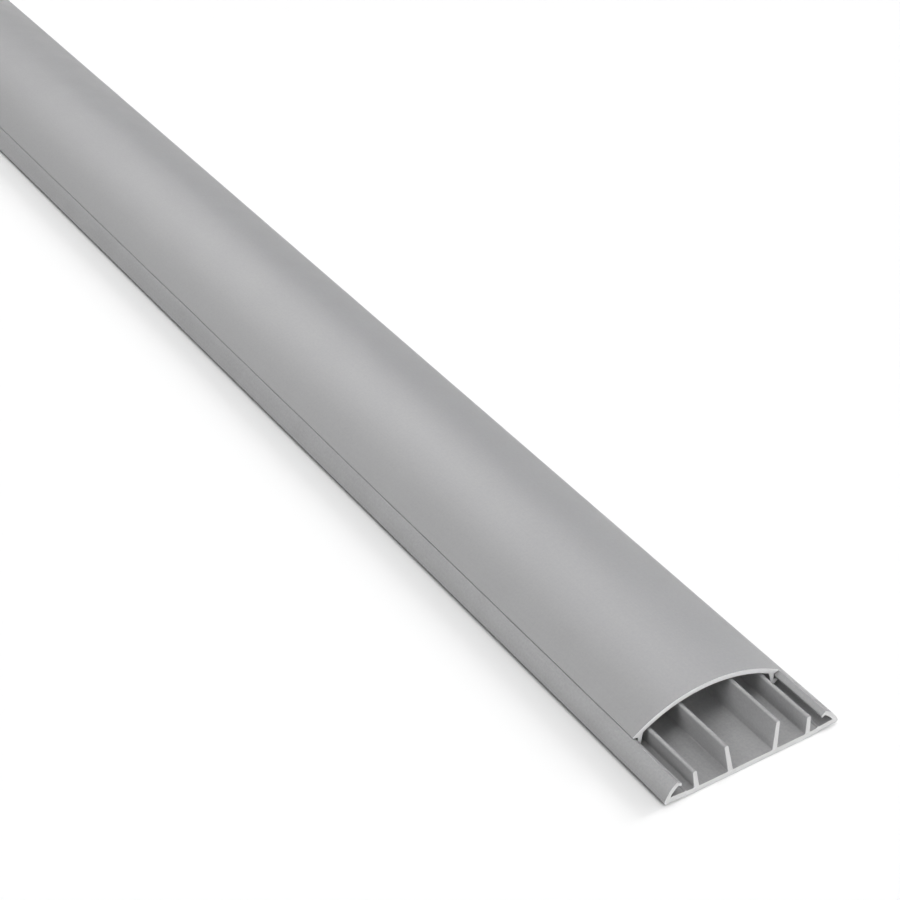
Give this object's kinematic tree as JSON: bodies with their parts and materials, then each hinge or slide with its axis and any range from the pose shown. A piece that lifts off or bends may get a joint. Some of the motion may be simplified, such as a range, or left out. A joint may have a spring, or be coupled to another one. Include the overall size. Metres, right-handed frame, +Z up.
{
  "type": "floor cord cover",
  "caption": "Length of floor trunking: a flat channel with dividing ribs and curved hooked rails, closed by a shallow domed clip-on cover that stands slid back to show the cable ways.",
  "frame": {"origin": "middle of the channel's flat underside, halfway along its length", "axes": "+Y along the length, away from the end where the cover is set back; +Z up from the floor; +X across the width"},
  "size_m": [0.075, 1.0275, 0.0185],
  "materials": {
    "grey_pvc": "satin-matt extruded PVC, plain grey, with paler sawn ends"
  },
  "bodies": {
    "channel": {"base_channel": "grey_pvc"},
    "cover": {"snap_cover": "grey_pvc"}
  },
  "joints": [
    {"name": "cover_slide", "type": "slide", "parent": "channel", "child": "cover", "axis": [0, 1, 0], "range_m": [-0.0275, 0.9725]}
  ]
}
